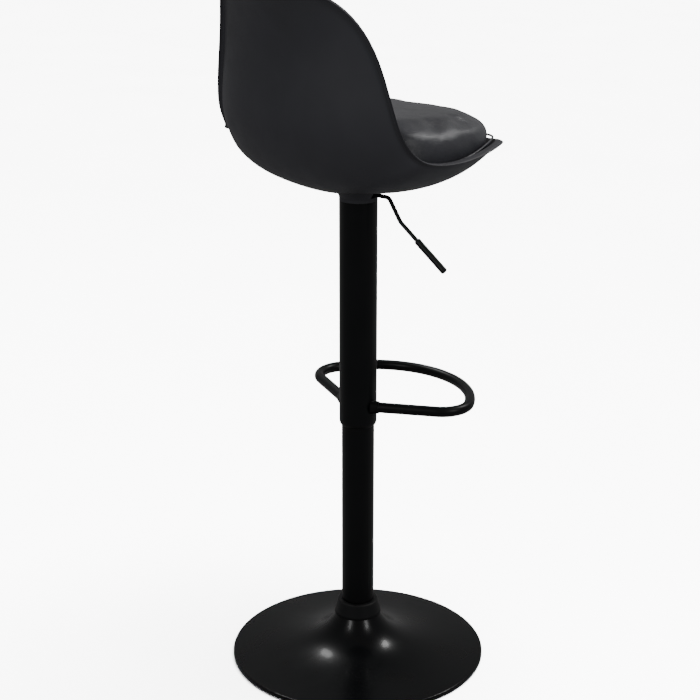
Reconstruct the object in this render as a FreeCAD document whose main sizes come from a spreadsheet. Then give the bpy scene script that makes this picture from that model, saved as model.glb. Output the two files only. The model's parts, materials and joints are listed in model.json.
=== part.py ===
import FreeCAD, Part
import Sketcher
import math
import os
import re

# Bar stool: trumpet base, gas-lift column with a sliding sleeve, footrest hoop and bucket seat.
# Millimetres, +Z up, origin on the column's axis at the floor, the sitter faces -Y.

vector = FreeCAD.Vector
doc = FreeCAD.newDocument("bar_stool")

# ---------------------------------------------------------------- driving sizes

sizes = {
    # base
    "base_radius": 194, "base_sheet": 1.6, "rim_band": 6, "rim_roll": 3,
    "neck_gap": 6, "neck_height": 68,
    "floor_ring_height": 4, "floor_ring_width": 14, "floor_ring_inset": 5,
    "weight_radius": 120, "weight_thickness": 4, "weight_bottom": 5,
    "socket_wall": 3, "collar_overhang": 2, "collar_wall": 6.5, "collar_height": 23,
    # column
    "tube_radius": 24.5, "tube_wall": 2, "tube_bottom": 16, "tube_floor": 4, "tube_length": 462,
    "bushing_length": 90, "bushing_lip": 2,
    "sleeve_gap": 1.7, "sleeve_wall": 1.8, "sleeve_bottom": 380, "sleeve_length": 344.5,
    "lip_depth": 3, "lip_height": 7, "glide_length": 22, "cap_thickness": 8,
    # gas spring
    "rod_radius": 5, "stem_radius": 4, "cylinder_radius": 14, "cylinder_wall": 2.5,
    "taper_drop": 1, "taper_length": 38, "cylinder_bottom": 400, "crown_thickness": 8,
    "piston_length": 12, "piston_gap": 8, "guide_length": 14, "bumper_radius": 12, "bumper_height": 22,
    "washer_radius": 13, "washer_thickness": 1.5, "ball_radius": 3, "ball_count": 10, "cage_thickness": 3,
    "clip_radius": 8, "clip_thickness": 1.5, "pin_radius": 3, "pin_gap": 0.3, "pin_length": 14,
    "running_gap": 0.05, "free_gap": 0.4,
    # footrest
    "hoop_height": 412, "hoop_tube_radius": 8, "hoop_wall": 1.5, "hoop_reach": 182,
    "hoop_front_radius": 145, "hoop_corner_radius": 42, "hoop_half_width": 134,
    "arm_root_side": 25, "arm_root_back": 0, "saddle_radius": 9, "saddle_length": 5,
    # seat mount
    "plate_radius": 26, "plate_thickness": 4, "plate_lift": 2, "hub_wall": 3, "mount_drop": 15,
    "well_depth": 8, "well_gap": 0.4,
    "bolt_square": 28, "bolt_radius": 2.5, "bolt_head_radius": 4.2, "bolt_head_height": 2.6,
    "spacer_radius": 5.5, "skin_room": 20, "skirt_flare": 12, "skirt_wall": 1.7, "slot_half_width": 6,
    "board_radius": 56, "board_thickness": 9, "nut_radius": 4.2,
    # lever
    "lever_radius": 3.1, "lever_height": 5.4, "pivot_distance": 19.5, "pivot_radius": 2, "eye_radius": 4,
    "eye_half_width": 5, "lever_tip": 3, "lever_elbow": 56, "lever_knee": 77, "knee_drop": 32,
    "lever_reach": 154, "reach_drop": 89, "elbow_bend": 9, "knee_bend": 22,
    "grip_radius": 4.9, "grip_length": 62, "ear_thickness": 2, "ear_half_length": 5, "ear_rise": 3.5,
    # seat shell and pad
    "shell_thickness": 4, "flange_width": 8, "seat_centre": -0.3, "wrap_angle": 70,
    "front_squareness": 3.3, "top_squareness": 3.1, "pad_gap": 4,
    "pad_level": 71, "pad_slope": 0.08, "pad_rise": 12, "pad_dish": 4, "pad_crown": 24,
    "pad_centre": -0.405, "pad_reach": 0.575, "pad_side": 0.86, "pad_squareness": 3.4, "pad_edge": 12,
}

# The bucket's middle line from the front lip over the seat and up the back. Each station has its
# distance ahead of the column, its height over the mount, its half width and how far its sides rise.
stations = [
    (195, 37, 118, 12), (181, 15, 170, 77), (71, -35, 194, 89), (-79, -8, 188, 55),
    (-134, 11, 164, 64), (-181, 100, 163, 58), (-156, 230, 152, 56), (-206, 284, 127, 63),
]
for number, station in enumerate(stations, 1):
    for part, value in zip(("ahead", "height", "width", "rise"), station):
        sizes["station%d_%s" % (number, part)] = value

sheet = doc.addObject("Spreadsheet::Sheet", "dims")
for row, (alias, value) in enumerate(sizes.items(), 1):
    sheet.set("A%d" % row, alias.replace("_", " "))
    sheet.set("B%d" % row, str(value))
    sheet.setAlias("B%d" % row, alias)
doc.recompute()


# Sizes that follow from what a piece fits to.
derived = {
    "sleeve_radius": "(tube_radius + sleeve_gap + sleeve_wall)",
    "neck_radius": "(tube_radius + socket_wall + neck_gap)",
    "collar_foot_radius": "(tube_radius + socket_wall + neck_gap + collar_overhang)",
    "collar_top_radius": "(tube_radius + collar_wall)",
    "taper_top_radius": "(cylinder_radius - taper_drop)",
    "hub_radius": "(cylinder_radius + hub_wall)",
    "skirt_radius": "(plate_radius + skirt_flare)",
}


def spelled(expression):
    """An expression with each derived size written out."""
    return re.sub(r"\b[a-z]\w*", lambda found: derived.get(found.group(), found.group()), expression)


def size(expression):
    """A number worked out from the sheet's aliases."""
    return float(sheet.evalExpression(spelled(expression)))


def bound(expression):
    """The same expression as another object refers to it."""
    return re.sub(r"\b[a-z]\w*", lambda found: "dims." + found.group(), spelled(expression))


# Heights that several pieces share.
tube_top = "(tube_bottom + tube_length)"
tube_inner = "(tube_radius - tube_wall)"
sleeve_top = "(sleeve_bottom + sleeve_length)"
sleeve_inner = "(sleeve_radius - sleeve_wall)"
plate_bottom = "(sleeve_bottom + sleeve_length + plate_lift)"
plate_top = "(sleeve_bottom + sleeve_length + plate_lift + plate_thickness)"
shell_bottom = "(sleeve_bottom + sleeve_length + plate_lift + plate_thickness + mount_drop)"
well_ceiling = shell_bottom[:-1] + " + well_depth)"
well_top = shell_bottom[:-1] + " + well_depth + shell_thickness)"
lever_level = plate_top[:-1] + " + lever_height)"
floor_top = "(tube_bottom + tube_floor)"
cage_bottom = floor_top[:-1] + " + washer_thickness)"
cage_top = cage_bottom[:-1] + " + 2 * ball_radius)"
bearing_top = cage_top[:-1] + " + washer_thickness)"

parts = []


def keep(piece, label):
    """Name a finished sub-part and put it on the list of files."""
    piece.Label = label
    piece.Placement = FreeCAD.Placement()
    parts.append(piece)
    return piece


# ---------------------------------------------------------------- ways of making a piece

def origin_plane(body, role):
    for feature in body.Origin.OriginFeatures:
        if feature.Role == role:
            return feature


def turned(label, corners):
    """A body revolved about Z. Each corner is (radius, height), both written as expressions."""
    body = doc.addObject("PartDesign::Body", label + "_body")
    sketch = body.newObject("Sketcher::SketchObject", label + "_profile")
    sketch.AttachmentSupport = [(origin_plane(body, "XZ_Plane"), "")]
    sketch.MapMode = "FlatFace"
    points = [vector(size(radius), size(height), 0) for radius, height in corners]
    count = len(points)
    for index in range(count):
        sketch.addGeometry(Part.LineSegment(points[index], points[(index + 1) % count]), False)
    for index in range(count):
        sketch.addConstraint(Sketcher.Constraint("Coincident", index, 2, (index + 1) % count, 1))
    for index, corner in enumerate(corners):
        for kind, axis, expression, place in (
            ("DistanceX", -2, corner[0], points[index].x),
            ("DistanceY", -1, corner[1], points[index].y),
        ):
            if expression == "0":
                sketch.addConstraint(Sketcher.Constraint("PointOnObject", index, 1, axis))
                continue
            number = sketch.addConstraint(Sketcher.Constraint(kind, -1, 1, index, 1, place))
            sketch.setExpression("Constraints[%d]" % number, bound(expression))
    turn = body.newObject("PartDesign::Revolution", label + "_turn")
    turn.Profile = sketch
    turn.ReferenceAxis = (sketch, ["V_Axis"])
    turn.Angle = 360
    body.Tip = turn
    return keep(body, label)


def ring(label, inner, outer, bottom, top):
    """A plain ring or tube, or a disc when its inner radius is 0."""
    return turned(label, [(inner, bottom), (outer, bottom), (outer, top), (inner, top)])


def cylinder(name, radius, height, x="0", y="0", z="0"):
    rod = doc.addObject("Part::Cylinder", name)
    rod.setExpression("Radius", bound(radius))
    rod.setExpression("Height", bound(height))
    for axis, expression in zip("xyz", (x, y, z)):
        rod.setExpression("Placement.Base." + axis, bound(expression))
    return rod


def joined(kind, name, pieces):
    """A Part::MultiFuse of many pieces."""
    group = doc.addObject(kind, name)
    group.Shapes = pieces
    return group


def cut(name, base, tool):
    piece = doc.addObject("Part::Cut", name)
    piece.Base = base
    piece.Tool = tool
    return piece


def shaped(label, shape):
    """A piece whose free-form shape is set directly."""
    piece = doc.addObject("Part::Feature", label + "_shape")
    piece.Shape = shape
    return keep(piece, label)


corner_signs = [(1, 1), (-1, 1), (-1, -1), (1, -1)]


def at_bolts(name, radius, height, z):
    """One cylinder at each of the four seat bolts."""
    half = " * bolt_square / 2"
    return [
        cylinder("%s_%d" % (name, number), radius, height, str(sx) + half, str(sy) + half, z)
        for number, (sx, sy) in enumerate(corner_signs, 1)
    ]


# ---------------------------------------------------------------- base

# Radius as a share of the way from neck to rim, height as a share of the neck's height over the rim.
trumpet_curve = [
    (0.0, 1.0), (0.06, 0.72), (0.17, 0.45), (0.33, 0.26), (0.52, 0.14), (0.72, 0.07), (0.88, 0.03),
]


def trumpet(drop):
    """Poles of the pressed sheet's upper face, or of its lower face when drop is the sheet."""
    rim_height = size("floor_ring_height - 1.5 + rim_band")
    neck, height = size("neck_radius"), size("neck_height")
    span = size("base_radius - rim_roll") - neck
    poles = []
    for along, up in trumpet_curve:
        slope_in = drop * 0.8 * (1 - along) ** 6
        level = rim_height + (height - rim_height) * up - drop
        poles.append(vector(neck + span * along - slope_in, 0, level))
    poles[0].z = height
    return poles


def base_profile():
    sheet_metal = size("base_sheet")
    low = size("floor_ring_height - 1.5")
    rim_top = low + size("rim_band")
    outer = size("base_radius")
    roll = size("rim_roll")
    upper = trumpet(0) + [vector(outer - roll, 0, rim_top)]
    lower = trumpet(sheet_metal) + [vector(outer - roll, 0, rim_top - sheet_metal)]
    diagonal = math.sqrt(0.5)
    corner = vector(outer - roll + roll * diagonal, 0, rim_top - roll + roll * diagonal)
    inner_roll = roll - sheet_metal
    inner_corner = vector(outer - roll + inner_roll * diagonal, 0, rim_top - roll + inner_roll * diagonal)
    top_curve = Part.BSplineCurve()
    top_curve.buildFromPoles(upper)
    low_curve = Part.BSplineCurve()
    low_curve.buildFromPoles(lower)
    outer_edge = vector(outer, 0, rim_top - roll)
    inner_edge = vector(outer - sheet_metal, 0, rim_top - roll)
    edges = [
        top_curve.toShape(),
        Part.Arc(upper[-1], corner, outer_edge).toShape(),
        Part.makeLine(outer_edge, vector(outer, 0, low)),
        Part.makeLine(vector(outer, 0, low), vector(outer - sheet_metal, 0, low)),
        Part.makeLine(vector(outer - sheet_metal, 0, low), inner_edge),
        Part.Arc(inner_edge, inner_corner, lower[-1]).toShape(),
        low_curve.toShape(),
        Part.makeLine(lower[0], upper[0]),
    ]
    return Part.Face(Part.Wire(Part.__sortEdges__(edges)))


shaped("base_trumpet", base_profile().revolve(vector(0, 0, 0), vector(0, 0, 1), 360))

ring_outer = "(base_radius - floor_ring_inset)"
ring("base_floor_ring", ring_outer[:-1] + " - floor_ring_width)", ring_outer, "0", "floor_ring_height")

ring("base_weight_plate", "tube_radius + socket_wall", "weight_radius",
     "weight_bottom", "weight_bottom + weight_thickness")

ring("base_socket_tube", "tube_radius", "tube_radius + socket_wall", "weight_bottom", "neck_height - 2")

turned("base_collar", [
    ("tube_radius", "neck_height"),
    ("collar_foot_radius", "neck_height"),
    ("collar_foot_radius", "neck_height + 3"),
    ("collar_top_radius", "neck_height + collar_height - 1.5"),
    ("collar_top_radius - 1.5", "neck_height + collar_height"),
    ("tube_radius", "neck_height + collar_height"),
])

# ---------------------------------------------------------------- fixed column

turned("column_tube", [
    ("stem_radius + running_gap", "tube_bottom"),
    ("tube_radius", "tube_bottom"),
    ("tube_radius", tube_top),
    (tube_inner, tube_top),
    (tube_inner, floor_top),
    ("stem_radius + running_gap", floor_top),
])

turned("column_bushing", [
    ("cylinder_radius + running_gap", tube_top + " - bushing_length"),
    (tube_inner, tube_top + " - bushing_length"),
    (tube_inner, tube_top),
    ("tube_radius", tube_top),
    ("tube_radius", tube_top + " + bushing_lip"),
    ("cylinder_radius + running_gap", tube_top + " + bushing_lip"),
])

# ---------------------------------------------------------------- swivel bearing

ring("bearing_lower_washer", "stem_radius + running_gap", "washer_radius", floor_top, cage_bottom)
ring("bearing_upper_washer", "stem_radius", "washer_radius", cage_top, bearing_top)

ball_circle = size("(stem_radius + washer_radius) / 2 + 0.3")
ball_level = size(cage_bottom + " + ball_radius")
balls = []
pockets = []
for number in range(int(size("ball_count"))):
    turn = 2 * math.pi * number / size("ball_count")
    centre = vector(ball_circle * math.cos(turn), ball_circle * math.sin(turn), ball_level)
    balls.append(Part.makeSphere(size("ball_radius - 0.02"), centre))
    pockets.append(Part.makeSphere(size("ball_radius"), centre))
shaped("bearing_balls", Part.makeCompound(balls))

cage_disc = Part.makeCylinder(size("washer_radius - 0.5"), size("cage_thickness"),
                              vector(0, 0, ball_level - size("cage_thickness") / 2))
cage_hole = Part.makeCylinder(size("stem_radius + 0.5"), size("cage_thickness"),
                              vector(0, 0, ball_level - size("cage_thickness") / 2))
shaped("bearing_cage", cage_disc.cut(cage_hole).cut(Part.makeCompound(pockets)))

# ---------------------------------------------------------------- gas spring

piston_bottom = "(cylinder_bottom + guide_length + piston_gap)"
turned("gas_piston_rod", [
    ("0", "tube_bottom - clip_thickness - 2"),
    ("stem_radius", "tube_bottom - clip_thickness - 2"),
    ("stem_radius", bearing_top),
    ("rod_radius", bearing_top),
    ("rod_radius", piston_bottom + " + piston_length + 3"),
    ("0", piston_bottom + " + piston_length + 3"),
])
ring("rod_clip", "stem_radius", "clip_radius", "tube_bottom - clip_thickness - 0.3", "tube_bottom - 0.3")
ring("rod_bumper", "rod_radius", "bumper_radius", bearing_top, bearing_top + " + bumper_height")
ring("gas_piston", "rod_radius", "cylinder_radius - cylinder_wall - running_gap",
     piston_bottom, piston_bottom + " + piston_length")

turned("gas_cylinder", [
    ("cylinder_radius - cylinder_wall", "cylinder_bottom"),
    ("cylinder_radius", "cylinder_bottom"),
    ("cylinder_radius", plate_top + " - taper_length"),
    ("taper_top_radius", plate_top),
    ("pin_radius + running_gap", plate_top),
    ("pin_radius + running_gap", plate_top + " - crown_thickness"),
    ("cylinder_radius - cylinder_wall", plate_top + " - crown_thickness"),
])
ring("rod_guide_seal", "rod_radius + running_gap", "cylinder_radius - cylinder_wall",
     "cylinder_bottom", "cylinder_bottom + guide_length")
pin_top = plate_top + " + lever_height - lever_radius - pin_gap"
ring("release_pin", "0", "pin_radius", pin_top + " - pin_length", pin_top)

# ---------------------------------------------------------------- sliding sleeve

turned("sleeve_tube", [
    (sleeve_inner, sleeve_top),
    (sleeve_inner, "sleeve_bottom + lip_height + 1"),
    (sleeve_inner[:-1] + " - lip_depth / 2)", "sleeve_bottom + 2"),
    (sleeve_inner[:-1] + " - lip_depth / 2)", "sleeve_bottom"),
    ("sleeve_radius - lip_depth", "sleeve_bottom"),
    ("sleeve_radius - lip_depth * 0.4", "sleeve_bottom + lip_height * 0.25"),
    ("sleeve_radius - lip_depth * 0.1", "sleeve_bottom + lip_height * 0.6"),
    ("sleeve_radius", "sleeve_bottom + lip_height"),
    ("sleeve_radius", sleeve_top),
])
ring("sleeve_glide_ring", "tube_radius + 0.3", sleeve_inner,
     "sleeve_bottom + lip_height + 1", "sleeve_bottom + lip_height + 1 + glide_length")
ring("sleeve_top_cap", "hub_radius", sleeve_inner, sleeve_top + " - cap_thickness", sleeve_top)

# ---------------------------------------------------------------- footrest

def hoop_path():
    """Half of the hoop's middle line as edges from the sleeve to the front, on the +X side."""
    level = size("hoop_height")
    corner = size("hoop_corner_radius")
    front = size("hoop_front_radius")
    front_centre = vector(0, -(size("hoop_reach") - front), level)
    side = size("hoop_half_width") - corner
    ahead = math.sqrt((front - corner) ** 2 - side ** 2)
    centre = vector(side, front_centre.y - ahead, level)
    root = vector(size("arm_root_side"), size("arm_root_back"), level)
    gap = centre - root
    distance = gap.Length
    lean = math.atan2(gap.y, gap.x) + math.asin(corner / distance)
    direction = vector(math.cos(lean), math.sin(lean), 0)
    meet = root + direction * math.sqrt(distance ** 2 - corner ** 2)
    outward = centre - front_centre
    outward.normalize()
    leave = centre + outward * corner
    middle = (meet - centre) + (leave - centre)
    middle.normalize()
    return root, direction, meet, centre + middle * corner, leave, front_centre


root, arm_direction, meet, bend, leave, front_centre = hoop_path()
mirrored = [vector(-point.x, point.y, point.z) for point in (root, meet, bend, leave)]
front_tip = front_centre + vector(0, -size("hoop_front_radius"), 0)
hoop_wire = Part.Wire([
    Part.makeLine(root, meet),
    Part.Arc(meet, bend, leave).toShape(),
    Part.Arc(leave, front_tip, mirrored[3]).toShape(),
    Part.Arc(mirrored[3], mirrored[2], mirrored[1]).toShape(),
    Part.makeLine(mirrored[1], mirrored[0]),
])
sleeve_space = Part.makeCylinder(size("sleeve_radius"), 60, vector(0, 0, size("hoop_height") - 30))


def tube_along(wire, start, direction, radius):
    section = Part.Wire(Part.makeCircle(radius, start, direction))
    return wire.makePipeShell([section], True, False)


hoop_outside = tube_along(hoop_wire, root, arm_direction, size("hoop_tube_radius"))
hoop_inside = tube_along(hoop_wire, root, arm_direction, size("hoop_tube_radius - hoop_wall"))
shaped("footrest_hoop", hoop_outside.cut(hoop_inside).cut(sleeve_space))

for label, side in (("footrest_saddle_left", 1), ("footrest_saddle_right", -1)):
    start = vector(side * root.x, root.y, root.z)
    direction = vector(side * arm_direction.x, arm_direction.y, 0)
    reach = size("sleeve_radius - arm_root_side + saddle_length + 4")
    flare = Part.makeCone(size("saddle_radius + 2"), size("hoop_tube_radius + 1"), reach, start, direction)
    shaped(label, flare.cut(hoop_outside).cut(sleeve_space))

# ---------------------------------------------------------------- seat mount

taper_share = "(taper_length - plate_thickness) / taper_length"
taper_at_plate = "cylinder_radius + (taper_top_radius - cylinder_radius) * " + taper_share
turned("taper_hub", [
    ("cylinder_radius", plate_top + " - taper_length"),
    ("hub_radius", plate_top + " - taper_length"),
    ("hub_radius", plate_bottom),
    (taper_at_plate, plate_bottom),
])

plate_disc = cylinder("plate_disc", "plate_radius", "plate_thickness", z=plate_bottom)
plate_bore = doc.addObject("Part::Cone", "plate_bore")
plate_bore.setExpression("Radius1", bound(taper_at_plate))
plate_bore.setExpression("Radius2", bound("taper_top_radius"))
plate_bore.setExpression("Height", bound("plate_thickness"))
plate_bore.setExpression("Placement.Base.z", bound(plate_bottom))
plate_holes = at_bolts("plate_hole", "bolt_radius + free_gap", "plate_thickness", plate_bottom)
plate_sinks = at_bolts("plate_sink", "bolt_head_radius + free_gap", "bolt_head_height", plate_bottom)
plate_cutters = joined("Part::MultiFuse", "plate_cutters", [plate_bore] + plate_holes + plate_sinks)
keep(cut("plate_cut", plate_disc, plate_cutters), "seat_plate")

bolt_length = "plate_thickness + mount_drop + well_depth + shell_thickness + board_thickness"
heads = at_bolts("bolt_head", "bolt_head_radius", "bolt_head_height", plate_bottom)
shanks = at_bolts("bolt_shank", "bolt_radius", bolt_length, plate_bottom)
keep(joined("Part::MultiFuse", "bolt_union", heads + shanks), "seat_bolts")

board_top = well_top[:-1] + " + board_thickness)"
board_bottom = board_top[:-1] + " - board_thickness)"

# ---------------------------------------------------------------- lever

def rounded_path(points, bends):
    """Straight runs joined by tangent arcs, one bend radius for each inner point."""
    edges = []
    start = points[0]
    for index, radius in enumerate(bends, 1):
        before = points[index - 1] - points[index]
        after = points[index + 1] - points[index]
        before.normalize()
        after.normalize()
        half = before.getAngle(after) / 2
        back = radius / math.tan(half)
        enter = points[index] + before * back
        leave_point = points[index] + after * back
        middle = before + after
        middle.normalize()
        nearest = points[index] + middle * (radius / math.sin(half) - radius)
        edges.append(Part.makeLine(start, enter))
        edges.append(Part.Arc(enter, nearest, leave_point).toShape())
        start = leave_point
    edges.append(Part.makeLine(start, points[-1]))
    return Part.Wire(edges)


level = size(lever_level)
lever_points = [
    vector(size("lever_tip"), 0, level),
    vector(-size("lever_elbow"), 0, level),
    vector(-size("lever_knee"), 0, level - size("knee_drop")),
    vector(-size("lever_reach"), 0, level - size("reach_drop")),
]
lever_wire = rounded_path(lever_points, [size("elbow_bend"), size("knee_bend")])
lever_bar = tube_along(lever_wire, lever_points[0], vector(-1, 0, 0), size("lever_radius"))
pivot = vector(-size("pivot_distance"), 0, level)


def across(radius, half_width, centre):
    """A round bar along Y, centred on a point."""
    return Part.makeCylinder(radius, 2 * half_width, centre - vector(0, half_width, 0), vector(0, 1, 0))


lever_eye = across(size("eye_radius"), size("eye_half_width"), pivot)
eye_bore = across(size("pivot_radius + running_gap"), size("eye_half_width"), pivot)
shaped("lever_rod", lever_bar.fuse(lever_eye).cut(eye_bore).removeSplitter())

grip_direction = lever_points[3] - lever_points[2]
grip_direction.normalize()
grip_start = lever_points[3] - grip_direction * size("grip_length - 3")
grip = Part.makeCylinder(size("grip_radius"), size("grip_length"), grip_start, grip_direction)
grip = grip.makeFillet(size("grip_radius * 0.45"), grip.Edges[0:1] + grip.Edges[2:3])
shaped("lever_grip", grip.cut(lever_bar))

ear_offset = size("eye_half_width + free_gap")
ear_width = size("ear_thickness")
ears = []
for side in (1, -1):
    low_y = ear_offset if side > 0 else -ear_offset - ear_width
    corner = pivot + vector(-size("ear_half_length"), 0, 0)
    ears.append(Part.makeBox(size("2 * ear_half_length"), ear_width, size("lever_height + ear_rise"),
                             vector(corner.x, low_y, size(plate_top))))
pin_bar = across(size("pivot_radius"), ear_offset + ear_width + 1, pivot)
shaped("lever_bracket", Part.makeCompound([ear.cut(pin_bar) for ear in ears]))
shaped("lever_pivot_pin", pin_bar)

# ---------------------------------------------------------------- seat shell

def open_spline(poles):
    curve = Part.BSplineCurve()
    curve.buildFromPoles(poles)
    return curve


def station_value(number, part):
    return size("station%d_%s" % (number, part))


numbers = range(1, len(stations) + 1)
middle_points = [(-station_value(number, "ahead"), station_value(number, "height")) for number in numbers]
middle_line = open_spline([vector(0, along, height) for along, height in middle_points])
girth_line = open_spline([vector(station_value(n, "width"), station_value(n, "rise"), 0) for n in numbers])
wrap = math.radians(size("wrap_angle"))


def bucket(along, across_share):
    """Point of the shell's outer face; along runs -1 at the lip to 1 at the top, across -1 to 1."""
    place = min(max((along + 1) / 2, 0), 1)
    base = middle_line.value(place)
    tangent = middle_line.tangent(place)[0]
    inward = vector(0, -tangent.z, tangent.y)
    width, rise = girth_line.value(place).x, girth_line.value(place).y
    turn = across_share * wrap
    lift = rise * (1 - math.cos(turn)) / (1 - math.cos(wrap))
    return vector(width * math.sin(turn) / math.sin(wrap), base.y, base.z) + inward * lift


def outline(angle, lower, upper):
    """Rounded-square outline: 0 is the front middle, half a turn is the top middle."""
    cosine, sine = math.cos(angle), math.sin(angle)
    power = lower if cosine > 0 else upper
    reach = (abs(cosine) ** power + abs(sine) ** power) ** (-1 / power)
    return -cosine * reach, sine * reach


columns = 48
seat_centre = size("seat_centre")
shell_rows = [0.08, 0.20, 0.34, 0.48, 0.62, 0.75, 0.86, 0.94, 1.0]


def shell_row(share):
    row = []
    for column in range(columns):
        angle = 2 * math.pi * column / columns
        along, side = outline(angle, size("front_squareness"), size("top_squareness"))
        row.append(bucket(seat_centre * (1 - share) + along * share, side * share))
    return row


def inward_normals(rows, index):
    """Unit normals on one row of a grid of points, towards the sitter."""
    normals = []
    before, after = rows[max(index - 1, 0)], rows[min(index + 1, len(rows) - 1)]
    row = rows[index]
    for column in range(columns):
        outwards = after[column] - before[column]
        around = row[(column + 1) % columns] - row[column - 1]
        normal = outwards.cross(around)
        normal.normalize()
        normals.append(normal)
    return normals


outer_rows = [shell_row(share) for share in shell_rows]
normals = [inward_normals(outer_rows, index) for index in range(len(outer_rows))]
if normals[0][0].z < 0:
    normals = [[normal * -1 for normal in row] for row in normals]



def evened(directions, reach=3):
    """Unit directions round the rim, each one averaged with its neighbours."""
    result = []
    for column in range(columns):
        total = vector(0, 0, 0)
        for step in range(-reach, reach + 1):
            total = total + directions[(column + step) % columns]
        result.append(total.normalize())
    return result


# The flange turns outwards from the rim.
rim, inside_rim = outer_rows[-1], outer_rows[-2]
normals[-1] = evened(normals[-1])
onward = evened([(outside - inside).normalize() for outside, inside in zip(rim, inside_rim)])
flange = [
    point + (ahead * 0.45 - normal * 0.89) * size("flange_width")
    for point, ahead, normal in zip(rim, onward, normals[-1])
]

thickness = size("shell_thickness")
flange_normals = [normal * 0.45 + ahead * 0.89 for ahead, normal in zip(onward, normals[-1])]


def lifted(row, row_normals, amount):
    return [point + normal * amount for point, normal in zip(row, row_normals)]


inner_rows = [lifted(row, row_normals, thickness) for row, row_normals in zip(outer_rows, normals)]
inner_flange = lifted(flange, flange_normals, thickness * 0.8)
lift = size(shell_bottom) - sum(point.z for point in outer_rows[0]) / columns


def flat(row, height):
    return [vector(point.x, point.y, height) for point in row]


def raised(rows):
    return [[point + vector(0, 0, lift) for point in row] for row in rows]


def closed_skin(rows):
    """A closed solid: one smooth skin through a cage of rings, and a flat cap at each end."""
    count = len(rows)
    inner_knots = count - 3
    surface = Part.BSplineSurface()
    surface.buildFromPolesMultsKnots(
        rows, [4] + [1] * (inner_knots - 1) + [4], [1] * (columns + 1),
        list(range(inner_knots + 1)), list(range(columns + 1)), False, True, 3, 3)
    skin = surface.toShape()
    ends = [surface.uIso(place).toShape() for place in (0, inner_knots)]
    caps = [Part.Face(Part.Wire(edge)) for edge in ends]
    shell = Part.Shell([skin] + caps)
    shell.sewShape()
    solid = Part.Solid(Part.Shell(shell.Faces))
    if solid.Volume < 0:
        solid.reverse()
    return solid


def passing(rows):
    """Poles of a smooth cage that passes through the given points instead of inside them."""
    poles = [[vector(point) for point in row] for row in rows]
    for sweep in range(3):
        smoothed = []
        for index, row in enumerate(poles):
            before, after = poles[max(index - 1, 0)], poles[min(index + 1, len(poles) - 1)]
            smoothed.append([(b + a + p * 4) * (1 / 6) for b, a, p in zip(before, after, row)])
        smoothed[0], smoothed[-1] = poles[0], poles[-1]
        round_row = [
            [(row[c - 1] + row[(c + 1) % columns] + row[c] * 4) * (1 / 6) for c in range(columns)]
            for row in smoothed
        ]
        poles = [
            [pole + (point - near) for pole, point, near in zip(pole_row, row, near_row)]
            for pole_row, row, near_row in zip(poles, rows, round_row)
        ]
    return poles


outer_cage = raised(passing(outer_rows + [flange]))
inner_cage = raised(passing(inner_rows + [inner_flange]))
outer_cage[0] = flat(outer_cage[0], size(shell_bottom))
inner_cage[0] = flat(inner_cage[0], size(shell_bottom) + thickness)
skin_solid = closed_skin(outer_cage + inner_cage[::-1])


def above(solid, wall):
    """What is left of a solid over a wall."""
    return max(solid.cut(wall).Solids, key=lambda piece: piece.CenterOfMass.z)


def bolt_circles(radius, low, high):
    """A round bar from one height to another at each seat bolt."""
    half = size("bolt_square / 2")
    places = [vector(sx * half, sy * half, low) for sx, sy in corner_signs]
    return [Part.makeCylinder(radius, high - low, place) for place in places]


# A round well in the shell's underside takes the mount.
well_radius = size("skirt_radius + well_gap")
low_room = size(shell_bottom) - size("skin_room")
low_centre = vector(0, 0, low_room)
well_block = Part.makeCylinder(well_radius + size("shell_thickness"), size(well_top) - low_room, low_centre)
well_space = Part.makeCylinder(well_radius, size(well_ceiling) - low_room, low_centre)
bolt_room = Part.makeCompound(bolt_circles(size("bolt_radius + free_gap"), low_room, size(board_top)))
shell_blank = skin_solid.fuse(above(well_block, skin_solid)).cut(well_space)
shaped("seat_shell", shell_blank.cut(bolt_room))

spacer_high = size(well_ceiling)
spacer_bores = Part.makeCompound(bolt_circles(size("bolt_radius + free_gap"), size(plate_top), spacer_high))
spacer_bars = bolt_circles(size("spacer_radius"), size(plate_top), spacer_high)
shaped("seat_spacers", Part.makeCompound([bar.cut(spacer_bores) for bar in spacer_bars]))

# The skirt flares from the sleeve's top to the shell and has a slot for the lever.
skirt_low = size(sleeve_top) + 0.2
skirt_wall = size("skirt_wall")
skirt_inner = size("plate_radius + free_gap")
skirt_edge = [
    (skirt_inner, skirt_low),
    (skirt_inner + skirt_wall, skirt_low),
    (skirt_inner + skirt_wall, size(plate_top)),
    (size("skirt_radius"), size(shell_bottom)),
    (size("skirt_radius"), spacer_high - size("well_gap")),
    (size("skirt_radius") - skirt_wall, spacer_high - size("well_gap")),
    (size("skirt_radius") - skirt_wall, size(shell_bottom)),
    (skirt_inner, size(plate_top)),
]
skirt_points = [vector(radius, 0, height) for radius, height in skirt_edge]
skirt_face = Part.Face(Part.makePolygon(skirt_points + skirt_points[:1]))
skirt_turned = skirt_face.revolve(vector(0, 0, 0), vector(0, 0, 1), 360)
skirt_slot = Part.makeBox(size("skirt_radius"), size("2 * slot_half_width"), size("mount_drop + well_depth"),
                          vector(-size("skirt_radius + 10"), -size("slot_half_width"), size(plate_top)))
shaped("seat_skirt", skirt_turned.cut(skirt_slot))

board_blank = Part.makeCylinder(size("board_radius"), size(board_top) - size(shell_bottom),
                                vector(0, 0, size(shell_bottom)))
nut_bores = Part.makeCompound(bolt_circles(size("nut_radius"), size(board_bottom), size(board_top)))
shaped("cushion_board", above(board_blank, shell_blank).cut(nut_bores))

nut_bodies = joined("Part::MultiFuse", "nut_bodies",
                    at_bolts("nut", "nut_radius", "board_thickness", board_bottom))
nut_holes = joined("Part::MultiFuse", "nut_holes",
                   at_bolts("nut_hole", "bolt_radius", "board_thickness", board_bottom))
keep(cut("nut_cut", nut_bodies, nut_holes), "seat_nuts")

# ---------------------------------------------------------------- seat cushion

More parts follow.
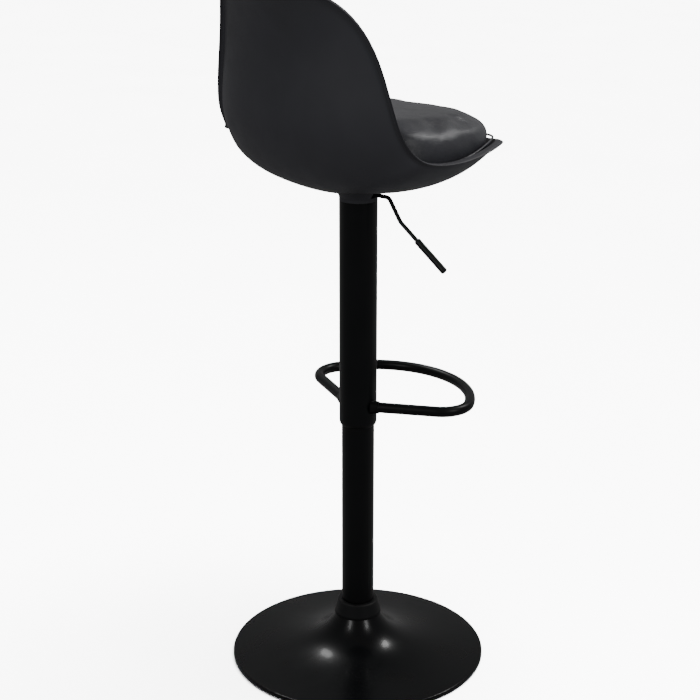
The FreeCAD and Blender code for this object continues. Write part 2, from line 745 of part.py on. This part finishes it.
pad_lift = size("shell_thickness + pad_gap")


def pad_point(share, column):
    """Place under the pad on the shell's inner face, at a share of the way from middle to edge."""
    along, side = outline(2 * math.pi * column / columns, size("pad_squareness"), size("pad_squareness"))
    along = size("pad_centre") + along * share * size("pad_reach")
    side = side * share * size("pad_side")
    step = 0.01
    point = bucket(along, side)
    ahead = bucket(along + step, side) - bucket(along - step, side)
    beside = bucket(along, side + step) - bucket(along, side - step)
    normal = beside.cross(ahead)
    normal.normalize()
    if normal.z < 0:
        normal = normal * -1
    return point, normal


def pad_underside(share):
    return [point + normal * pad_lift for point, normal in (pad_point(share, c) for c in range(columns))]


def pad_height(place):
    """Level of the pad's side: it slopes to the front, and rises to the back and to both sides."""
    back = max(place.y, 0) / size("station3_width")
    side = place.x / size("station3_width")
    sloped = size("pad_level") + size("pad_slope") * place.y
    return sloped + size("pad_rise") * back ** 2 + size("pad_dish") * side ** 2


def pad_layer(share, rise):
    """One ring of the pad's side or top; rise is a share of the crown over the pad's sloping level."""
    row = []
    for column in range(columns):
        point, normal = pad_point(share, column)
        edge = point + normal * size("pad_edge")
        height = pad_height(edge) + rise * size("pad_crown")
        row.append(vector(edge.x, edge.y, max(height, edge.z)))
    return row


pad_under = [pad_underside(share) for share in (0.45, 0.62, 0.80, 0.94, 1.0)]
pad_bottom = size(board_top) + size("pad_gap") - lift
pad_under[0] = flat(pad_under[0], max(max(point.z for point in pad_under[0]), pad_bottom))
pad_over = [(1.01, -0.25), (0.99, 0.35), (0.91, 0.72), (0.74, 0.92), (0.50, 1.0), (0.28, 1.03)]
pad_cage = pad_under + [pad_layer(share, rise) for share, rise in pad_over]
pad_peak = size("pad_level + 1.03 * pad_crown")
pad_cage.append(flat(pad_layer(0.12, 1.03), pad_peak))
cushion = closed_skin(raised(pad_cage))
shaped("seat_cushion", cushion)

# ---------------------------------------------------------------- checks and files

doc.recompute()
os.makedirs("parts", exist_ok=True)
for item in doc.Objects:
    if "Invalid" in item.State or "Error" in item.State:
        raise RuntimeError("%s did not build: %s" % (item.Label, item.State))
for piece in parts:
    if piece.Shape.isNull() or not piece.Shape.isValid() or piece.Shape.Volume <= 0:
        raise RuntimeError("%s has no valid shape" % piece.Label)
for piece in parts:
    piece.Shape.exportStep(os.path.join("parts", piece.Label + ".step"))
print(len(parts), "sub-parts")
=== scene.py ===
import json
import math
import bmesh
import bpy
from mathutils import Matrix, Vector


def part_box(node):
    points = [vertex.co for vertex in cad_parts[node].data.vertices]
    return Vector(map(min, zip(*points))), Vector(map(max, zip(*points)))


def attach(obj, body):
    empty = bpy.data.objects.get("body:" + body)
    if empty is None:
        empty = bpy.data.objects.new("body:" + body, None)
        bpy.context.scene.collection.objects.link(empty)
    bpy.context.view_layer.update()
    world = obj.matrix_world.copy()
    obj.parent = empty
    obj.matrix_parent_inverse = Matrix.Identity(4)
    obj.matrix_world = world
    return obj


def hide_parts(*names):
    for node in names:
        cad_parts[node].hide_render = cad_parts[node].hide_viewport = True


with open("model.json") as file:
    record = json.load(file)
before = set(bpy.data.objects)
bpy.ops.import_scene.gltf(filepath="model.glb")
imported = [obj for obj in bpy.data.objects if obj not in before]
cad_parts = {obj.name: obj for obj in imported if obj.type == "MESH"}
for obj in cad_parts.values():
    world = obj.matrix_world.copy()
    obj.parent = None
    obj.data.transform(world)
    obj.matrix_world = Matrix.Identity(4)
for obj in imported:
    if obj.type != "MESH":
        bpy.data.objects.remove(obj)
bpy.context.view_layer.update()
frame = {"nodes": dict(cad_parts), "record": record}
print("frame loaded:", len(frame["nodes"]), "nodes")

nodes = frame["nodes"]
record = frame["record"]
scene = bpy.context.scene
mm = 0.001
noiseSpan = (0.3, 0.7)  # where most of a noise texture's values lie


def newMaterial(name, colour, roughness, metallic=0.0):
    material = bpy.data.materials.new(name)
    material.use_nodes = True
    shader = material.node_tree.nodes["Principled BSDF"]
    shader.inputs["Base Color"].default_value = (*colour, 1)
    shader.inputs["Roughness"].default_value = roughness
    shader.inputs["Metallic"].default_value = metallic
    return material, material.node_tree, shader


def objectCoords(tree, scale=(1, 1, 1)):
    coords = tree.nodes.new("ShaderNodeTexCoord")
    mapping = tree.nodes.new("ShaderNodeMapping")
    mapping.inputs["Scale"].default_value = scale
    tree.links.new(coords.outputs["Object"], mapping.inputs["Vector"])
    return mapping.outputs["Vector"]


def noiseAt(tree, vector, scale, detail=3.0, rough=0.55):
    texture = tree.nodes.new("ShaderNodeTexNoise")
    texture.inputs["Scale"].default_value = scale
    texture.inputs["Detail"].default_value = detail
    texture.inputs["Roughness"].default_value = rough
    tree.links.new(vector, texture.inputs["Vector"])
    return texture.outputs["Fac"]


def remap(tree, value, low, high, span=noiseSpan):
    node = tree.nodes.new("ShaderNodeMapRange")
    node.inputs["From Min"].default_value = span[0]
    node.inputs["From Max"].default_value = span[1]
    node.inputs["To Min"].default_value = low
    node.inputs["To Max"].default_value = high
    tree.links.new(value, node.inputs["Value"])
    return node.outputs["Result"]


def tint(tree, shader, value, dark, light):
    ramp = tree.nodes.new("ShaderNodeValToRGB")
    for element, position, colour in zip(ramp.color_ramp.elements, noiseSpan, (dark, light)):
        element.position = position
        element.color = (*colour, 1)
    tree.links.new(value, ramp.inputs["Fac"])
    tree.links.new(ramp.outputs["Color"], shader.inputs["Base Color"])


def addBump(tree, shader, height, strength, distance):
    bump = tree.nodes.new("ShaderNodeBump")
    bump.inputs["Strength"].default_value = strength
    bump.inputs["Distance"].default_value = distance
    tree.links.new(height, bump.inputs["Height"])
    tree.links.new(bump.outputs["Normal"], shader.inputs["Normal"])


def shaded(colour, share):
    return tuple(channel * share for channel in colour)


# a finish whose shade and gloss drift a little over the surface
def mottled(name, look):
    material, tree, shader = newMaterial(name, look["colour"], look["roughness"][0])
    place = objectCoords(tree)
    dark, light = (shaded(look["colour"], share) for share in look["shades"])
    tint(tree, shader, noiseAt(tree, place, look["patchSize"]), dark, light)
    smudges = noiseAt(tree, place, look["smudgeSize"], look["smudgeDetail"])
    tree.links.new(remap(tree, smudges, *look["roughness"]), shader.inputs["Roughness"])
    shader.inputs["Specular IOR Level"].default_value = look["specular"]
    return material, tree, shader, place


def voronoiAt(tree, place, scale, feature="F1"):
    cells = tree.nodes.new("ShaderNodeTexVoronoi")
    cells.feature = feature
    cells.inputs["Scale"].default_value = scale
    tree.links.new(place, cells.inputs["Vector"])
    return cells.outputs["Distance"]


# sizes are in patches to the metre, depths in metres
satinCoat = {
    "colour": (0.0022, 0.0022, 0.0026), "shades": (0.8, 1.25), "patchSize": 14,
    "roughness": (0.30, 0.40), "smudgeSize": 22, "smudgeDetail": 5,
    "peelSize": 900, "peelDetail": 2, "peelDepth": 0.00003, "peelStrength": 0.35,
    "coatWeight": 0.03, "coatRoughness": 0.12, "specular": 0.14,
}
glossCoat = {
    **satinCoat, "colour": (0.0014, 0.0014, 0.0018), "roughness": (0.26, 0.32),
    "peelSize": 500, "peelDepth": 0.00002, "coatWeight": 0.10,
}


def makeCoat(name, look):
    material, tree, shader, place = mottled(name, look)
    peel = noiseAt(tree, place, look["peelSize"], look["peelDetail"])
    addBump(tree, shader, peel, look["peelStrength"], look["peelDepth"])
    shader.inputs["Coat Weight"].default_value = look["coatWeight"]
    shader.inputs["Coat Roughness"].default_value = look["coatRoughness"]
    return material


shellPlastic = {
    "colour": (0.0330, 0.0330, 0.0385), "shades": (0.9, 1.1), "patchSize": 9,
    "roughness": (0.50, 0.60), "smudgeSize": 35, "smudgeDetail": 4,
    "grainSize": 1500, "grainDepth": 0.00006, "grainStrength": 0.4, "specular": 0.22,
}
naturalNylon = {
    **shellPlastic, "colour": (0.30, 0.30, 0.31), "roughness": (0.4, 0.5),
    "grainSize": 900, "grainDepth": 0.00004, "specular": 0.5,
}
blackRubber = {
    **shellPlastic, "colour": (0.012, 0.012, 0.012), "roughness": (0.75, 0.9),
    "grainSize": 700, "grainDepth": 0.0001, "specular": 0.3,
}
gripPlastic = {
    **shellPlastic, "colour": (0.004, 0.004, 0.0045), "roughness": (0.38, 0.5),
    "grainSize": 1100, "grainDepth": 0.00005, "specular": 0.2,
}


def makePlastic(name, look):
    material, tree, shader, place = mottled(name, look)
    grain = voronoiAt(tree, place, look["grainSize"])
    addBump(tree, shader, grain, look["grainStrength"], look["grainDepth"])
    return material


leatherette = {
    "colour": (0.0300, 0.0305, 0.0360), "shades": (0.85, 1.2), "patchSize": 12,
    "roughness": (0.33, 0.42), "smudgeSize": 60, "smudgeDetail": 5,
    "grainSize": 620, "grainEdge": 0.25, "creaseSize": 70, "creaseDetail": 4, "creaseShare": 0.5,
    "depth": 0.0003, "strength": 0.35, "specular": 0.35, "sheen": 0.03, "sheenRoughness": 0.4,
}


def makeLeatherette(name, look):
    material, tree, shader, place = mottled(name, look)
    edges = voronoiAt(tree, place, look["grainSize"], "DISTANCE_TO_EDGE")
    grain = remap(tree, edges, 0.0, 1.0, (0.0, look["grainEdge"]))
    blend = tree.nodes.new("ShaderNodeMath")
    blend.operation = "MULTIPLY_ADD"
    blend.inputs[1].default_value = look["creaseShare"]
    tree.links.new(noiseAt(tree, place, look["creaseSize"], look["creaseDetail"]), blend.inputs[0])
    tree.links.new(grain, blend.inputs[2])
    addBump(tree, shader, blend.outputs["Value"], look["strength"], look["depth"])
    shader.inputs["Sheen Weight"].default_value = look["sheen"]
    shader.inputs["Sheen Roughness"].default_value = look["sheenRoughness"]
    return material


bareMetal = {
    "shade": 0.85, "patchSize": 20, "smudges": (0.8, 1.25), "smudgeSize": 60, "smudgeDetail": 4,
    "scratchSize": 400, "scratchDetail": 2, "scratchDepth": 0.00003, "scratchStrength": 0.2,
}


def makeMetal(name, colour, roughness, brushed=(1, 1, 40)):
    look = bareMetal
    material, tree, shader = newMaterial(name, colour, roughness, 1.0)
    place = objectCoords(tree, brushed)
    smudges = noiseAt(tree, place, look["smudgeSize"], look["smudgeDetail"])
    low, high = (roughness * share for share in look["smudges"])
    tree.links.new(remap(tree, smudges, low, high), shader.inputs["Roughness"])
    tint(tree, shader, noiseAt(tree, place, look["patchSize"]), shaded(colour, look["shade"]), colour)
    scratches = noiseAt(tree, place, look["scratchSize"], look["scratchDetail"])
    addBump(tree, shader, scratches, look["scratchStrength"], look["scratchDepth"])
    return material


birchPly = {
    "colour": (0.5, 0.36, 0.2), "dark": (0.38, 0.25, 0.13), "light": (0.6, 0.45, 0.28), "roughness": 0.6,
    "along": (1, 14, 1), "ringSize": 18, "ringDetail": 6,
    "poreSize": 120, "poreDetail": 4, "poreDepth": 0.0002, "poreStrength": 0.3,
}


def makeWood(name, look):
    material, tree, shader = newMaterial(name, look["colour"], look["roughness"])
    place = objectCoords(tree, look["along"])
    rings = noiseAt(tree, place, look["ringSize"], look["ringDetail"])
    tint(tree, shader, rings, look["dark"], look["light"])
    pores = noiseAt(tree, place, look["poreSize"], look["poreDetail"])
    addBump(tree, shader, pores, look["poreStrength"], look["poreDepth"])
    return material


finishes = {
    "gloss_black_metal": makeCoat("glossPowderCoat", glossCoat),
    "satin_black_metal": makeCoat("satinPowderCoat", satinCoat),
    "satin_black_plastic": makePlastic("blackPlastic", gripPlastic),
    "grey_shell_plastic": makePlastic("shellPlastic", shellPlastic),
    "grey_leatherette": makeLeatherette("seatLeatherette", leatherette),
    "black_rubber": makePlastic("blackRubber", blackRubber),
    "grey_nylon": makePlastic("naturalNylon", naturalNylon),
    "raw_steel": makeMetal("zincSteel", (0.50, 0.51, 0.53), 0.36),
    "polished_steel": makeMetal("polishedRod", (0.65, 0.66, 0.68), 0.14, (1, 1, 6)),
    "aluminium": makeMetal("turnedAluminium", (0.62, 0.63, 0.65), 0.3),
    "brass": makeMetal("pressedBrass", (0.72, 0.50, 0.20), 0.32),
    "plywood": makeWood("birchPly", birchPly),
}
slotOf = {entry["node"]: entry["material_slot"] for entry in record["subparts"]}
for name, node in nodes.items():
    node.data.materials.clear()
    node.data.materials.append(finishes[slotOf[name]])
    for face in node.data.polygons:
        face.material_index = 0
print("materials made:", len(finishes))


def smoothFaces(piece):
    for face in piece.data.polygons:
        face.use_smooth = True


def addPiece(name, vertices, faces, body, slotName):
    mesh = bpy.data.meshes.new(name)
    mesh.from_pydata([tuple(point) for point in vertices], [], faces)
    mesh.validate()
    piece = bpy.data.objects.new(name, mesh)
    smoothFaces(piece)
    scene.collection.objects.link(piece)
    mesh.materials.append(finishes[slotName])
    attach(piece, body)
    work = bmesh.new()
    work.from_mesh(mesh)
    bmesh.ops.recalc_face_normals(work, faces=work.faces)
    work.to_mesh(mesh)
    work.free()
    return piece


def applyModifiers(piece):
    graph = bpy.context.evaluated_depsgraph_get()
    done = bpy.data.meshes.new_from_object(piece.evaluated_get(graph))
    piece.modifiers.clear()
    old = piece.data
    piece.data = done
    bpy.data.meshes.remove(old)


def subdivide(piece, levels):
    rounder = piece.modifiers.new("round", "SUBSURF")
    rounder.levels = rounder.render_levels = levels
    applyModifiers(piece)


def ringFaces(rows, columns, closed=False):
    faces = []
    for row in range(rows if closed else rows - 1):
        for column in range(columns):
            below = row * columns
            above = ((row + 1) % rows) * columns
            after = (column + 1) % columns
            faces.append((below + column, below + after, above + after, above + column))
    return faces


# rows of points, in mm before the shell's lift, become one closed form with a fan over each end
def closedForm(rows, columns):
    vertices = [(point + Vector((0, 0, shellLift))) * mm for row in rows for point in row]
    faces = ringFaces(len(rows), columns)
    for start in (0, (len(rows) - 1) * columns):
        vertices.append(sum((vertices[start + column] for column in range(columns)), Vector()) / columns)
        middle = len(vertices) - 1
        faces += [(start + column, start + (column + 1) % columns, middle) for column in range(columns)]
    return vertices, faces


# the height of a node's highest point, to a tenth of a millimetre
def topOf(name):
    return round(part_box(name)[1][2] / mm, 1)


bucketLook = {
    # ahead of the column, height before the lift onto the mount, half width, rise of the sides (mm)
    "stations": [
        (195, 37, 118, 12), (181, 15, 170, 77), (71, -35, 194, 89), (-79, -8, 188, 55),
        (-134, 11, 164, 64), (-181, 100, 163, 58), (-156, 230, 152, 56), (-206, 284, 127, 63),
    ],
    "rows": [0.08, 0.20, 0.34, 0.48, 0.62, 0.75, 0.86, 0.94, 1.0],
    "columns": 48,
    "centre": -0.3,
    "wrap": math.radians(70),
    "frontSquare": 3.3,
    "topSquare": 3.1,
    "thickness": 4.0,
    "flange": 8.0, "flangeOut": 0.45, "flangeDown": 0.89, "flangeShare": 0.8,
    "overPlate": 15.0,
    "smoothing": 2,
}
mountHeight = topOf("seat_plate") + bucketLook["overPlate"]


# the weights of a clamped cubic spline's poles at a place from 0 to 1
def splineWeights(count, place):
    degree = 3
    knots = [0.0] * degree + [step / (count - degree) for step in range(count - degree + 1)] + [1.0] * degree
    place = min(max(place, 0.0), 1 - 1e-9)
    weights = [1.0 if knots[i] <= place < knots[i + 1] else 0.0 for i in range(len(knots) - 1)]
    for order in range(1, degree + 1):
        raised = []
        for i in range(len(knots) - 1 - order):
            left = knots[i + order] - knots[i]
            right = knots[i + order + 1] - knots[i + 1]
            value = 0.0
            if left > 0:
                value += (place - knots[i]) / left * weights[i]
            if right > 0:
                value += (knots[i + order + 1] - place) / right * weights[i + 1]
            raised.append(value)
        weights = raised
    return weights


def stationAt(place):
    poles = bucketLook["stations"]
    weights = splineWeights(len(poles), place)
    return [sum(weight * pole[part] for weight, pole in zip(weights, poles)) for part in range(4)]


# a place on the bucket: along runs from -1 at the front lip to 1 at the top, side from -1 to 1 across
def bucketPoint(along, side):
    place = min(max((along + 1) / 2, 0), 1)
    ahead, height, width, rise = stationAt(place)
    step = 0.0005
    before, after = stationAt(max(place - step, 0)), stationAt(min(place + step, 1))
    tangent = Vector((0, before[0] - after[0], after[1] - before[1])).normalized()
    inward = Vector((0, -tangent.z, tangent.y))
    wrap = bucketLook["wrap"]
    turn = side * wrap
    lift = rise * (1 - math.cos(turn)) / (1 - math.cos(wrap))
    return Vector((width * math.sin(turn) / math.sin(wrap), -ahead, height)) + inward * lift


def outline(angle, lower, upper):
    cosine, sine = math.cos(angle), math.sin(angle)
    power = lower if cosine > 0 else upper
    reach = (abs(cosine) ** power + abs(sine) ** power) ** (-1 / power)
    return -cosine * reach, sine * reach


def evened(directions, reach=3):
    count = len(directions)
    return [
        sum((directions[(column + step) % count] for step in range(-reach, reach + 1)), Vector()).normalized()
        for column in range(count)
    ]


def shellCage():
    look = bucketLook
    columns = look["columns"]
    rows = []
    for share in look["rows"]:
        row = []
        for column in range(columns):
            along, side = outline(2 * math.pi * column / columns, look["frontSquare"], look["topSquare"])
            row.append(bucketPoint(look["centre"] * (1 - share) + along * share, side * share))
        rows.append(row)
    normals = []
    for index, row in enumerate(rows):
        before, after = rows[max(index - 1, 0)], rows[min(index + 1, len(rows) - 1)]
        normals.append([
            (after[column] - before[column]).cross(row[(column + 1) % columns] - row[column - 1]).normalized()
            for column in range(columns)
        ])
    if normals[0][0].z < 0:
        normals = [[-normal for normal in row] for row in normals]
    rim, inside = rows[-1], rows[-2]
    normals[-1] = evened(normals[-1])
    onward = evened([(outer - inner).normalized() for outer, inner in zip(rim, inside)])
    out, down = look["flangeOut"], look["flangeDown"]
    flange = [
        point + (ahead * out - normal * down) * look["flange"]
        for point, ahead, normal in zip(rim, onward, normals[-1])
    ]
    flangeNormals = [normal * out + ahead * down for ahead, normal in zip(onward, normals[-1])]
    lift = mountHeight - sum(point.z for point in rows[0]) / columns
    return rows + [flange], normals + [flangeNormals], lift


# a smoothed cage shrinks inside its corners, so each corner is moved out by as much;
# a smoothed corner is four parts itself and one part each neighbour
def passing(rows, sweeps=3):
    columns = len(rows[0])
    poles = [[Vector(point) for point in row] for row in rows]
    for sweep in range(sweeps):
        smoothed = [[Vector(point) for point in row] for row in poles]
        for index in range(1, len(poles) - 1):
            for column in range(columns):
                ends = poles[index - 1][column] + poles[index + 1][column]
                smoothed[index][column] = (ends + poles[index][column] * 4) / 6
        for index, row in enumerate(smoothed):
            for column in range(columns):
                near = (row[column - 1] + row[(column + 1) % columns] + row[column] * 4) / 6
                poles[index][column] += rows[index][column] - near
    return poles


outerRows, rowNormals, shellLift = shellCage()


def buildShell():
    look = bucketLook
    thick = [look["thickness"]] * (len(outerRows) - 1) + [look["thickness"] * look["flangeShare"]]
    innerRows = [
        [point + normal * amount for point, normal in zip(row, normals)]
        for row, normals, amount in zip(outerRows, rowNormals, thick)
    ]
    cage = passing(outerRows) + passing(innerRows)[::-1]
    mount = mountHeight - shellLift
    for point in cage[0]:
        point.z = mount
    for point in cage[-1]:
        point.z = mount + look["thickness"]
    vertices, faces = closedForm(cage, look["columns"])
    shell = addPiece("bucketShell", vertices, faces, "seat_and_sleeve", "grey_shell_plastic")
    subdivide(shell, look["smoothing"])
    smoothFaces(shell)
    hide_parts("seat_shell")


buildShell()
print("shell built")

padLook = {
    # the outline's place and size on the bucket, and the gaps that the pad keeps to it (mm)
    "centre": -0.405, "reach": 0.575, "side": 0.86, "square": 3.4, "gap": 8.0, "edge": 12.0,
    # the top's height, slope and rises (mm)
    "level": 71.0, "slope": 0.08, "rise": 12.0, "dish": 4.0, "crown": 24.0, "shrink": 2.0,
    # shares of the outline, and over the pad's edge each with its share of the crown
    "under": (0.45, 0.62, 0.80, 0.94, 1.0),
    "over": (
        (1.01, -0.25), (0.99, 0.35), (0.91, 0.72), (0.74, 0.92), (0.50, 1.0), (0.28, 1.03), (0.12, 1.03),
    ),
    "boardGap": 4.0,
    "columns": 48, "smoothing": 2, "voxel": 0.005, "settle": 0.5, "settleRounds": 6, "fineness": 1,
}
# the cover's cloth: stiffness, weight, the pressure inside, and how far a point may move (m)
coverLook = {
    "quality": 6, "mass": 0.3, "stretch": 25, "bending": 2, "pressure": 4.0, "frames": 20, "cap": 0.006,
}


def padPoint(share, column, columns):
    look = padLook
    along, side = outline(2 * math.pi * column / columns, look["square"], look["square"])
    along = look["centre"] + along * share * look["reach"]
    side = side * share * look["side"]
    step = 0.01
    point = bucketPoint(along, side)
    ahead = bucketPoint(along + step, side) - bucketPoint(along - step, side)
    beside = bucketPoint(along, side + step) - bucketPoint(along, side - step)
    normal = beside.cross(ahead).normalized()
    return point, (normal if normal.z > 0 else -normal)


# the pad slopes down to the front, and rises to the back and to both sides
def padHeight(place):
    look = padLook
    widest = bucketLook["stations"][2][2]
    back, side = max(place.y, 0) / widest, place.x / widest
    return look["level"] + look["slope"] * place.y + look["rise"] * back ** 2 + look["dish"] * side ** 2


def padRows(columns):
    look = padLook
    rows = []
    for share in look["under"]:
        places = [padPoint(share, column, columns) for column in range(columns)]
        rows.append([point + normal * look["gap"] for point, normal in places])
    low = topOf("cushion_board") - shellLift + look["boardGap"]
    flatHeight = max(max(point.z for point in rows[0]), low)
    for point in rows[0]:
        point.z = flatHeight
    for share, rise in look["over"]:
        row = []
        for column in range(columns):
            point, normal = padPoint(share, column, columns)
            edge = point + normal * look["edge"]
            height = padHeight(edge) + rise * look["crown"] - look["shrink"]
            row.append(Vector((edge.x, edge.y, max(height, edge.z))))
        rows.append(row)
    return rows


# the cover is blown up a little from inside, and each point's move is capped
def swell(piece):
    look = coverLook
    start = [vertex.co.copy() for vertex in piece.data.vertices]
    cloth = piece.modifiers.new("swell", "CLOTH")
    cloth.settings.quality = look["quality"]
    cloth.settings.mass = look["mass"]
    cloth.settings.use_pressure = True
    cloth.settings.uniform_pressure_force = look["pressure"]
    cloth.settings.tension_stiffness = look["stretch"]
    cloth.settings.compression_stiffness = look["stretch"]
    cloth.settings.bending_stiffness = look["bending"]
    cloth.settings.effector_weights.gravity = 0
    cloth.point_cache.frame_start = 1
    cloth.point_cache.frame_end = look["frames"]
    for step in range(1, look["frames"] + 1):
        scene.frame_set(step)
    graph = bpy.context.evaluated_depsgraph_get()
    swollen = [vertex.co.copy() for vertex in piece.evaluated_get(graph).data.vertices]
    piece.modifiers.clear()
    for vertex, old, new in zip(piece.data.vertices, start, swollen):
        move = new - old
        if move.length > look["cap"]:
            move = move.normalized() * look["cap"]
        vertex.co = old + move
    scene.frame_set(1)


def buildCushion():
    look = padLook
    vertices, faces = closedForm(padRows(look["columns"]), look["columns"])
    pad = addPiece("seatPad", vertices, faces, "seat_and_sleeve", "grey_leatherette")
    subdivide(pad, look["smoothing"])
    remesh = pad.modifiers.new("even", "REMESH")
    remesh.mode = "VOXEL"
    remesh.voxel_size = look["voxel"]
    applyModifiers(pad)
    swell(pad)
    smoother = pad.modifiers.new("settle", "SMOOTH")
    smoother.factor = look["settle"]
    smoother.iterations = look["settleRounds"]
    subdivide(pad, look["fineness"])
    smoothFaces(pad)
    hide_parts("seat_cushion")
    return pad


weltLook = {"radius": 1.7, "share": 1.02, "lift": 10.0, "sides": 10, "columns": 144}


# the cover's piped seam, a thin cord of the same cover round the pad's foot
def buildWelt():
    look = weltLook
    columns = look["columns"]
    centres = []
    for column in range(columns):
        point, normal = padPoint(look["share"], column, columns)
        centres.append((point + normal * look["lift"] + Vector((0, 0, shellLift))) * mm)
    radius = look["radius"] * mm
    vertices = []
    for column, centre in enumerate(centres):
        along = (centres[(column + 1) % columns] - centres[column - 1]).normalized()
        side = along.cross(Vector((0, 0, 1))).normalized()
        rise = side.cross(along)
        for step in range(look["sides"]):
            angle = 2 * math.pi * step / look["sides"]
            vertices.append(centre + (side * math.cos(angle) + rise * math.sin(angle)) * radius)
    faces = ringFaces(columns, look["sides"], closed=True)
    addPiece("padWelt", vertices, faces, "seat_and_sleeve", "grey_leatherette")


seatPad = buildCushion()
buildWelt()
print("cushion built:", len(seatPad.data.vertices), "points")

stageLook = {
    "size": 40.0, "colour": (0.93, 0.93, 0.93), "roughness": 0.55, "smudges": (0.5, 0.6), "smudgeSize": 3,
    "light": 34.0, "softness": math.radians(50), "tilt": (math.radians(14), math.radians(-8), 0),
}


# the floor has a lamp of its own, which lights nothing else
def buildFloor():
    look = stageLook
    size = look["size"]
    mesh = bpy.data.meshes.new("floor")
    corners = [(-size, -size, 0), (size, -size, 0), (size, size, 0), (-size, size, 0)]
    mesh.from_pydata(corners, [], [(0, 1, 2, 3)])
    floor = bpy.data.objects.new("floor", mesh)
    scene.collection.objects.link(floor)
    material, tree, shader = newMaterial("paleFloor", look["colour"], look["roughness"])
    smudges = noiseAt(tree, objectCoords(tree), look["smudgeSize"])
    tree.links.new(remap(tree, smudges, *look["smudges"]), shader.inputs["Roughness"])
    mesh.materials.append(material)
    floor.visible_glossy = floor.visible_diffuse = False  # the dark coats mirror the dim room, not the floor
    sun = bpy.data.objects.new("floorLight", bpy.data.lights.new("floorLight", "SUN"))
    scene.collection.objects.link(sun)
    sun.data.energy = look["light"]
    sun.data.angle = look["softness"]
    sun.rotation_euler = look["tilt"]
    onlyFloor = bpy.data.collections.new("onlyFloor")
    onlyFloor.objects.link(floor)
    sun.light_linking.receiver_collection = onlyFloor


buildFloor()

# the camera looks down at the stool from behind the sitter's right (m, lens in mm)
viewLook = {
    "columnOffset": 0.0120, "distance": 2.416, "height": 1.3272,
    "pitch": math.radians(18.5), "facing": math.radians(50.2),
    "lens": 88.9663, "sensor": 36.0, "shift": -0.021143,
}


def buildCamera():
    look = viewLook
    camera = bpy.data.objects.new("mainCamera", bpy.data.cameras.new("mainCamera"))
    scene.collection.objects.link(camera)
    sine, cosine = math.sin(look["facing"]), math.cos(look["facing"])
    camera.location = (
        look["columnOffset"] * sine - look["distance"] * cosine,
        look["columnOffset"] * cosine + look["distance"] * sine,
        look["height"],
    )
    level, drop = math.cos(look["pitch"]), math.sin(look["pitch"])
    camera.rotation_euler = Vector((cosine * level, -sine * level, -drop)).to_track_quat("-Z", "Y").to_euler()
    camera.data.sensor_width = look["sensor"]
    camera.data.lens = look["lens"]
    camera.data.shift_y = look["shift"]
    scene.camera = camera


buildCamera()

lightLook = {
    # direction from the stool: right, towards the camera, up; then distance, size and power
    "leftOver": (-0.40, -0.48, 0.78, 2.6, 0.55, 22),
    "rightOver": (0.62, -0.30, 0.72, 2.6, 0.55, 26),
    "leftFront": (-0.54, 0.69, 0.48, 2.8, 0.7, 15),
    "rightFront": (0.61, 0.64, 0.47, 2.8, 0.7, 17),
}
roomLook = {"colour": (1, 1, 1), "strength": 0.30, "aimHeight": 0.4}


def buildLights():
    facing = viewLook["facing"]
    right = Vector((-math.sin(facing), -math.cos(facing), 0))
    toCamera = Vector((-math.cos(facing), math.sin(facing), 0))
    aimPoint = Vector((0, 0, roomLook["aimHeight"]))
    for name, (across, near, up, distance, size, power) in lightLook.items():
        lamp = bpy.data.objects.new(name + "Light", bpy.data.lights.new(name + "Light", "AREA"))
        scene.collection.objects.link(lamp)
        lamp.data.shape = "DISK"
        lamp.data.size = size
        lamp.data.energy = power
        lamp.location = aimPoint + (right * across + toCamera * near + Vector((0, 0, up))) * distance
        lamp.rotation_euler = (aimPoint - lamp.location).to_track_quat("-Z", "Y").to_euler()
    world = bpy.data.worlds.new("paleRoom")
    world.use_nodes = True
    background = world.node_tree.nodes["Background"]
    background.inputs["Color"].default_value = (*roomLook["colour"], 1)
    background.inputs["Strength"].default_value = roomLook["strength"]
    scene.world = world


buildLights()
print("stage, lights and camera ready")
